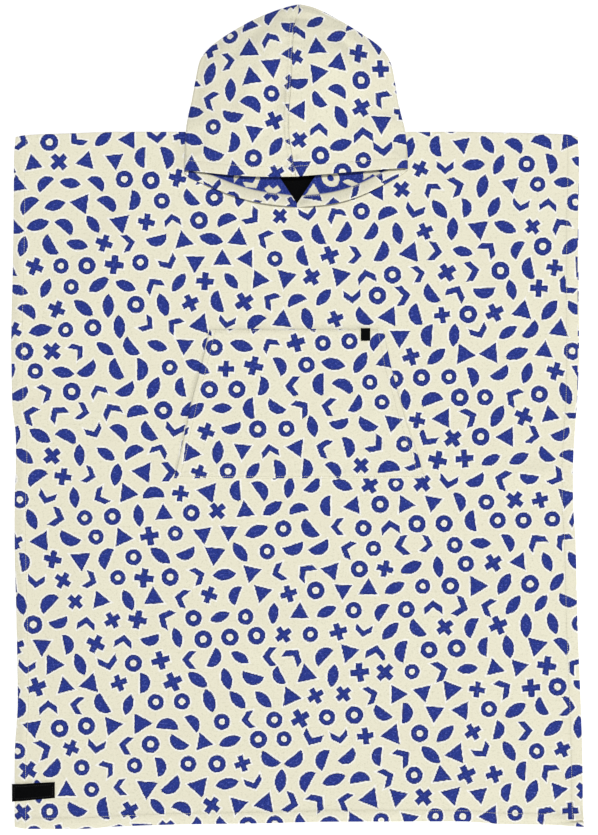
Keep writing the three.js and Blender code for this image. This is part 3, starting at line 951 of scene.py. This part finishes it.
def panel_lines(step):
    """Stops across and shares up a panel, close together along its hems."""
    inner = spaced(0, HALF_WIDTH - 30, step)
    half = np.concatenate([[0, NECK_HALF_WIDTH], inner, HALF_WIDTH - EDGE_LINES])
    stops = np.unique(np.concatenate([-half, half]).round(4))
    low = EDGE_LINES / SHOULDER_Y
    high = 1 - TOP_EDGE_LINES / SHOULDER_Y
    middle = np.concatenate([TUCK_LINES, spaced(30, SHOULDER_Y - 15, step)]) / SHOULDER_Y
    shares = np.unique(np.concatenate([low, middle, high]).round(6))
    return stops, shares


def grid_normals(points):
    """Unit normals of a grid of points, by columns turned towards rows."""
    normal = np.cross(np.gradient(points, axis=1), np.gradient(points, axis=0))
    return normal / np.maximum(1e-9, np.linalg.norm(normal, axis=-1, keepdims=True))


def make_back():
    stops, shares = panel_lines(BACK_STEP)

    def top_edge(x):
        return np.where(np.abs(x) <= NECK_HALF_WIDTH, SHOULDER_Y - SEAM_GAP, shoulder_y(x))

    x, y = panel_places(stops, shares, top_edge, 0)
    distance = panel_edge_distance(stops, shares)
    soft = 0.12 * (unevenness(x, y, size=20, seed=41) - 1) * ease(distance, 0, 20)
    sides = np.minimum(x - smooth(SIDES, "y", "left", y), smooth(SIDES, "y", "right", y) - x)
    wall = CLOTH_WALL - pressed_off(np.minimum(sides, y - hem_y(x)))
    outer = np.stack([x, y, wall / 2 * (1 - roundness(distance, CLOTH_WALL))], -1)
    inner = np.stack([x, y, wall / 2 * (1 + roundness(distance, CLOTH_WALL)) + soft], -1)
    uv = np.stack([-x, y], -1) + PATTERN_AT["back"]
    hem = (distance - HEM_WIDTH) / HEM_WIDTH
    return shell("back_panel", outer, inner, uv, [OUTSIDE, INSIDE], {"hem": hem})


def make_front():
    stops, shares = panel_lines(FRONT_STEP)

    def top_edge(x):
        neckline = NECK_POINT_Y + (shoulder_y(x) - NECK_POINT_Y) * np.abs(x) / NECK_HALF_WIDTH
        return np.where(np.abs(x) <= NECK_HALF_WIDTH, neckline, shoulder_y(x))

    x, y = panel_places(stops, shares, top_edge, 1)
    distance = panel_edge_distance(stops, shares)
    uv = np.stack([x, y], -1) + PATTERN_AT["front"]
    from_left, from_right, from_hem = front_distances(x, y)
    nearest = np.minimum(np.minimum(from_left, from_right), from_hem)
    hem = (nearest - HEM_WIDTH) / HEM_WIDTH
    bottom = front_under(x, y) - pressed_off(nearest)
    top = front_face(x, y) - 2 * pressed_off(nearest) + mounds(HEM_TUCK, x, y)
    bottom = np.minimum(bottom, top - LEAST_WALL)
    piece, outer = laid_shell(
        "front_panel", x, y, bottom, top, distance, uv, [OUTSIDE, INSIDE], {"hem": hem})
    ups = grid_normals(outer)
    along_hem, hem_ups = line_from("low", outer, ups, from_hem, HEM_STITCH_LINE)
    inside = np.abs(along_hem[:, 0]) < HALF_WIDTH - HEM_WIDTH
    lines = [
        line_from("left", outer, ups, from_left, HEM_STITCH_LINE),
        line_from("right", outer, ups, from_right, HEM_STITCH_LINE),
        (along_hem[inside], hem_ups[inside]),
    ]
    return piece, stitches("front_stitches", lines, CREAM_THREAD)


# Hood

def hood_row(at, side, lower_shares, angles, upper_shares):
    """Middle of the cloth along one section, built from the given shares of each layer, and its
    texture places.
    """
    read = {name: float(smooth(HOOD, "at", name, at)) for name in HOOD}
    hand = "left" if side < 0 else "right"
    half = CLOTH_WALL / 2
    seam_x = read["seamX"] + side * SEAM_GAP / 2
    fold_x = seam_x if at == 0 else read[hand] - side * half
    nape_x = read["seamX"] * (1 - ease(at, 0, NAPE_SEAM_DRIFT))
    neckline = NECK_HALF_WIDTH * (read["inY"] - NECK_POINT_Y) / (SHOULDER_Y - NECK_POINT_Y)
    if at > NECKLINE_FROM:
        read["inX"] = max(0.0, neckline)
    drop = MOUTH_DROP[hand] * ease(at, MOUTH_DROP["start"], 1)
    lip = MOUTH_LIP[hand] * ease(at, MOUTH_LIP["start"], 1)
    fold = np.array([fold_x, read["foldY"] - drop])
    seam = np.array([seam_x, read["seamY"]])
    inner = np.array([nape_x + side * max(SEAM_GAP / 2, read["inX"]), read["inY"]])
    faceward = ease(at, FACE_BOW["start"], 1)
    base = float(hood_under(*fold)) + half
    radius = FOLD_RADIUS + MOUTH_SWELL["rise"] * ease(at, MOUTH_SWELL["start"], 1)
    top = base + 2 * radius

    def layer(target, shares, bow):
        away = target - fold
        length = np.hypot(*away)
        reach = radius + shares * (length - radius)
        spots = fold + away / length * reach[:, None]
        spots[:, 1] -= faceward * bow * np.sin(math.pi * shares)
        return spots, reach - radius

    lower, lower_run = layer(inner, lower_shares[::-1], FACE_BOW["chin " + hand])
    upper, upper_run = layer(seam, upper_shares, FACE_BOW[hand])
    turn = ((angles + 90) / 180)[:, None]
    heading = (inner - fold) / np.hypot(*(inner - fold)) * (1 - turn)
    heading = heading + (seam - fold) / np.hypot(*(seam - fold)) * turn
    heading /= np.linalg.norm(heading, axis=1, keepdims=True)
    radians = np.radians(angles)
    around = fold + heading * (radius * (1 - np.cos(radians)))[:, None]
    around[:, 1] -= lip * (1 - turn[:, 0]) ** 2
    lower[:, 1] -= lip * (1 - lower_shares[::-1]) ** 3
    rise = (read["crest"] - top) * (1 - (1 - upper_shares) ** LOFT_POWER)
    dent = mounds(DENTS, upper[:, 0], upper[:, 1]) * ease(upper_shares, 0, DENT_FADE)
    droop = FACE_DROOP["drop"] * ease(at, FACE_DROOP["start"], 1)
    dent = dent - droop * ease(upper_shares, 0, FACE_DROOP["share"])
    z = np.concatenate([
        hood_under(lower[:, 0], lower[:, 1]) + half,
        base + radius * (1 + np.sin(radians)),
        top + rise + dent,
    ])
    plan = np.concatenate([lower, around, upper])
    arc = radius * math.pi / 2
    run = np.concatenate([-lower_run - arc, radius * radians, upper_run + arc])
    uv = np.stack([fold[0] - side * run, plan[:, 1]], -1)
    return np.column_stack([plan, z]), uv


def hood_normals(grid, side):
    """Outward normals, upright along the neck and in the seam's plane along the centre seam."""
    normal = side * grid_normals(grid)
    normal[:, 0] = (0, 0, -1)
    normal[:, -1, 0] = 0
    across = np.gradient(grid[0], axis=0)
    normal[0] = np.stack([0 * across[:, 0], -across[:, 2], across[:, 1]], -1)
    return normal / np.linalg.norm(normal, axis=-1, keepdims=True)


def distance_to_line(points, line):
    """Distance of each point of a grid to the nearest part of a line of points."""
    flat = points.reshape(-1, 1, 3)
    start, way = line[:-1], np.diff(line, axis=0)
    t = np.clip(((flat - start) * way).sum(-1) / np.maximum(1e-9, (way**2).sum(-1)), 0, 1)
    gap = np.linalg.norm(flat - start - way * t[..., None], axis=-1)
    return gap.min(1).reshape(points.shape[:2])


def hood_relief(side, x, y, upper, from_fold, to_face, to_seam, to_inner):
    """Creases, lumps and gathers of a hood half, and the lift of its chin edge."""
    near_seam = ease(to_seam, 0, SEAM_CALM)
    creased = np.where(to_seam < SEAM_CALM, 0.5 + 0.5 * near_seam, 1)
    small = mounds(HOOD_CREASES, x, y) * creased * upper
    small = small + with_lumps(0, x, y, HOOD_LUMPS[side]) * (near_seam * upper)
    small = small + 0.42 * puckers(y, to_seam, 6, reach=11, seed=55) * upper
    by_face = FACE_HEM - 2
    over = 0.34 * puckers(x, to_face, by_face, reach=8, seed=57)
    under = 0.3 * puckers(x, to_face, by_face, reach=8, seed=58)
    small = small + over * upper * ease(to_seam, 0, 20)
    small = small + under * ~upper * ease(to_inner, 0, 14)
    chin = ease(from_fold, CHIN_LIFT["start"], CHIN_LIFT["full"]) * ease(to_inner, 0, 20) * ~upper
    return small + CHIN_LIFT["rise"] * (1 - ease(to_face, 0, CHIN_LIFT["reach"])) * chin


def make_hood_half(name, side):
    middle = np.linspace(0.04, 0.9, 88)
    stops = np.unique(np.concatenate([PEAK_STOPS, middle, 1 - FACE_STOPS]).round(5))
    edge = SEAM_LINES / HOOD_SPREAD
    upper_shares = np.sort(1 - np.concatenate([edge, np.linspace(0.09, 1, 34)]))
    lower_shares = np.sort(1 - np.concatenate([edge[:5], np.linspace(0.03, 1, 30)]))
    made = [hood_row(at, side, lower_shares, FOLD_ANGLES, upper_shares) for at in stops]
    grid = np.array([row[0] for row in made])
    uv = np.array([row[1] for row in made])[..., ::-1] * (1, -1)
    uv = uv + (PATTERN_AT["hood"][0] * (2 + side), PATTERN_AT["hood"][1])
    fold = len(lower_shares) + len(FOLD_ANGLES) // 2
    upper = np.arange(grid.shape[1]) >= fold
    x, y = grid[..., 0], grid[..., 1]
    from_fold = side * (x[:, fold:fold + 1] - x)
    face = grid[-1]
    over_face = distance_to_line(grid, face[fold:])
    to_face = np.where(upper, over_face, distance_to_line(grid, face[:fold + 1]))
    steps = np.linalg.norm(np.diff(grid, axis=1), axis=-1)
    none = np.zeros((len(grid), 1))
    to_seam = np.concatenate([np.cumsum(steps[:, ::-1], axis=1)[:, ::-1], none], 1)
    to_inner = np.concatenate([none, np.cumsum(steps, axis=1)], 1)
    relief = hood_relief(side, x, y, upper, from_fold, to_face, to_seam, to_inner)
    grid[..., 2] += relief * ease(stops, 0, 0.04)[:, None]
    out = hood_normals(grid, side)
    seam_edge = to_seam if side > 0 else to_seam + SEAM_BAND["gap"]
    edge_gap = np.minimum(to_face, np.minimum(seam_edge, to_inner))
    half = CLOTH_WALL / 2 * roundness(edge_gap, CLOTH_WALL)
    band = 1 - ease(to_seam, SEAM_BAND["start"], SEAM_BAND["end"])
    band = SEAM_BAND["rise"] * band * (side < 0)
    grooves = sum(furrow(to_seam - at, **BAND_FURROW) for at in BAND_STITCHES) * (side < 0)
    hem = (to_face - FACE_HEM) / FACE_HEM
    face_groove = furrow(to_face - FACE_HEM + STITCH_INSET, **FURROW)
    face_hem = FACE_HEM_RISE * (1 - ease(to_face, FACE_HEM - 0.9, FACE_HEM + 0.7))
    face_hem = face_hem * ease(to_face, 0, 1.5)
    fade = ease(stops, 0.01, 0.05)[:, None]
    outer = grid + out * (half + (band - grooves) * fade * upper - face_groove * 0.8)[..., None]
    inner = grid - out * (half + face_hem - face_groove * 0.8)[..., None]
    outer[..., 2] = np.maximum(outer[..., 2], 0)
    piece = shell(name, outer, inner, uv, [OUTSIDE, INSIDE], {"hem": hem})
    lines = [
        line_from("high", outer, out, to_face, FACE_HEM - STITCH_INSET),
        line_from("high", inner, -out, to_face, FACE_HEM - STITCH_INSET),
    ]
    if side < 0:
        for distance in BAND_STITCHES:
            lines.append(line_from("right", outer[8:], out[8:], to_seam[8:], distance))
    return piece, stitches(name + "_stitches", lines, CREAM_THREAD)


# Pocket

def edge_shares(lines, size, inner):
    """Shares of a size, at lines near both its edges and at inner ones."""
    near = lines / size
    return np.unique(np.concatenate([near, 1 - near, inner]))


def make_pocket():
    bottom, top = POCKET["y"][0], POCKET["y"][-1]
    height, margin = top - bottom, POCKET_STEPS["margin"]
    up = spaced(margin, height - margin, POCKET_STEPS["up"]) / height
    aside = spaced(margin, POCKET_SPREAD - margin, POCKET_STEPS["across"]) / POCKET_SPREAD
    shares = np.unique(edge_shares(POCKET_LINES, height, up).round(5))
    spread = np.unique(edge_shares(POCKET_LINES, POCKET_SPREAD, aside).round(5))
    share, across = np.meshgrid(spread, shares)
    corner = POCKET_CORNER["left"] * (1 - ease(share, 0, POCKET_CORNER["left end"]))
    corner = corner + POCKET_CORNER["right"] * ease(share, POCKET_CORNER["right start"], 1)
    y = bottom + across * (height - corner * ease(across, POCKET_CORNER["low"], 1))
    left, right = pocket_edges(y)
    x = left + (right - left) * share
    side = np.minimum(x - left, right - x)
    ends = np.minimum(y - bottom, top - y)
    uv = np.stack([x, y], -1) + PATTERN_AT["pocket"]
    hem = (side - POCKET_HEM) / POCKET_HEM
    edge = np.minimum(side, ends)
    face = pocket_face(x, y) - POCKET_ROLL["drop"] * (1 - ease(edge, 0, POCKET_ROLL["reach"]))
    piece, outer = laid_shell(
        "pocket_patch", x, y, pocket_under(x, y), face, edge, uv, [OUTSIDE, INSIDE], {"hem": hem})
    ups = grid_normals(outer)
    lines = [
        line_from("left", outer, ups, x - left, POCKET_HEM - STITCH_INSET),
        line_from("right", outer, ups, right - x, POCKET_HEM - STITCH_INSET),
        line_from("low", outer, ups, y - bottom, POCKET_SEAM),
        line_from("high", outer, ups, top - y, POCKET_SEAM),
    ]
    return piece, stitches("pocket_stitches", lines, CREAM_THREAD)


# Labels, and a black sheet of painted shade inside the neck

def laid_ribbon(name, x, y, bottom, distance):
    """Closed ribbon over places seen from above, and its outer face."""
    middle = bottom + RIBBON_WALL / 2
    half = RIBBON_WALL / 2 * roundness(distance, RIBBON_WALL)
    outer = np.stack([x, y, middle + half], -1)
    inner = np.stack([x, y, middle - half], -1)
    return shell(name, outer, inner, np.stack([x, y], -1), [RIBBON_AND_PAINTED_SHADE]), outer


def from_edges(s, t, width, height):
    """Distance of each share of a label to its nearest edge."""
    return np.minimum(np.minimum(s, 1 - s) * width, np.minimum(t, 1 - t) * height)


def sewn_round(points, k):
    """Lines for stitches along the k-th lines inside the four edges of a grid of points."""
    ups = grid_normals(points)
    return [
        (points[k, k:-k], ups[k, k:-k]),
        (points[-k - 1, k:-k], ups[k, k:-k]),
        (points[k:-k, k], ups[k:-k, k]),
        (points[k:-k, -k - 1], ups[k:-k, -k - 1]),
    ]


def make_pocket_label():
    label = POCKET_LABEL
    shares = edge_shares(THIN_EDGE_LINES, 20, np.linspace(0.25, 0.75, 9))
    s, t = np.meshgrid(shares, shares)
    x = label["x"] + (s - 0.5) * label["width"]
    y = label["top"] - (1 - t) * label["height"]
    curl = POCKET_LABEL_CURL * (1 - t) ** 2 + 0.12 * unevenness(x, y, 9, 61)
    bottom = pocket_under(x, y) + CLOTH_WALL + 0.7 + curl
    distance = from_edges(s, t, label["width"], label["height"])
    return laid_ribbon("pocket_tag", x, y, bottom, distance)[0]


def make_side_label():
    label = SIDE_LABEL
    width, height = SIDE_LABEL_SIZE
    across = edge_shares(THIN_EDGE_LINES, width, np.linspace(0.08, 0.92, 26))
    up = edge_shares(THIN_EDGE_LINES, height, np.linspace(0.22, 0.78, 8))
    s, t = np.meshgrid(across, up)
    x = label["left"] + (label["right"] - label["left"]) * s
    low = label["low"][0] + (label["low"][1] - label["low"][0]) * s
    high = label["high"][0] + (label["high"][1] - label["high"][0]) * s
    y = low + (high - low) * t
    on_hem = HEM_RISE * (1 - ease(x + HALF_WIDTH, 12, 34)) - 2 * pressed_off(x + HALF_WIDTH)
    bottom = front_top(x, y) + 0.35 + on_hem + 0.15 * unevenness(x, y, 14, 62)
    piece, outer = laid_ribbon("side_tag", x, y, bottom, from_edges(s, t, width, height))
    lines = sewn_round(outer, LABEL_SEAM)
    return piece, stitches("side_tag_stitches", lines, BLACK_THREAD)


# A black sheet laid on the back's inside, in the neck hole, as painted shade: it stands in for the
# deep shade inside the neck
def make_neck_painted_shade():
    patch = NECK_PAINTED_SHADE
    rows = np.concatenate([THIN_EDGE_LINES / 100, np.linspace(0.08, 1, 22)])
    s, t = np.meshgrid(np.linspace(0, 1, 61), rows)
    angle = math.pi * (0.03 + 0.94 * s)
    x = -patch["half_width"] * np.cos(angle)
    gather = patch["gather"] * t * (1 - np.abs(x) / patch["half_width"])
    y = patch["top"] - patch["depth"] * np.sin(angle) * (1 - t) - gather
    distance = np.minimum(t * patch["depth"] * np.sin(angle), patch["rim"])
    bottom = CLOTH_WALL + 0.25 + 0.05 * unevenness(x, y, 16, 71)
    piece, outer = laid_ribbon("neck_painted_shade", x, y, bottom, distance)
    sewn = outer[LABEL_SEAM]
    lines = [(sewn, np.zeros_like(sewn) + (0, 0, 1))]
    return piece, stitches("neck_painted_shade_stitches", lines, BLACK_THREAD)


back = make_back()
front, front_stitches = make_front()
hood_left, hood_left_stitches = make_hood_half("hood_half_left", -1)
hood_right, hood_right_stitches = make_hood_half("hood_half_right", 1)
pocket, pocket_stitches = make_pocket()
pocket_tag = make_pocket_label()
side_tag, side_tag_stitches = make_side_label()
# The black sheet inside the neck is painted shade
painted_shade_sheet, painted_shade_stitches = make_neck_painted_shade()

for piece, node in (
    (back, "back"),
    (front, "front"),
    (hood_left, "hood_left"),
    (hood_right, "hood_right"),
    (pocket, "pocket"),
    (pocket_tag, "pocket_label"),
    (side_tag, "side_label"),
    (painted_shade_sheet, "neck_patch"),
):
    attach(piece, "root")
    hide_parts(node)
    "label" if piece.data.materials[0] == RIBBON_AND_PAINTED_SHADE else "towelling"

for piece in (
    front_stitches,
    hood_left_stitches,
    hood_right_stitches,
    pocket_stitches,
    side_tag_stitches,
    painted_shade_stitches,
):
    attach(piece, "root")


# Floor and light

def add_floor():
    size = FLOOR["half"]
    corners = [(-size, -size), (size, -size), (size, size), (-size, size)]
    mesh = bpy.data.meshes.new("floor")
    mesh.from_pydata([(x, y, FLOOR["z"]) for x, y in corners], [], [(0, 1, 2, 3)])
    mesh.materials.append(plain_material("pale_floor", FLOOR_WHITE, 0.9)[0])
    floor = add_object("floor", mesh)


def add_softbox(name, place, aim, size, power):
    data = bpy.data.lights.new(name, "AREA")
    data.shape = "SQUARE"
    data.size = size
    data.energy = power
    lamp = add_object(name, data)
    lamp.location = Vector(place)
    lamp.rotation_mode = "QUATERNION"
    lamp.rotation_quaternion = (Vector(aim) - Vector(place)).to_track_quat("-Z", "Y")


def add_sky(strength):
    world = bpy.data.worlds.new("studio")
    world.use_nodes = True
    background = world.node_tree.nodes["Background"]
    background.inputs["Color"].default_value = (1, 1, 1, 1)
    background.inputs["Strength"].default_value = strength
    bpy.context.scene.world = world


add_floor()
for softbox in SOFTBOXES:
    add_softbox(*softbox)
add_sky(SKY_STRENGTH)
bpy.context.scene.view_settings.view_transform = "Standard"
bpy.context.scene.view_settings.look = "None"
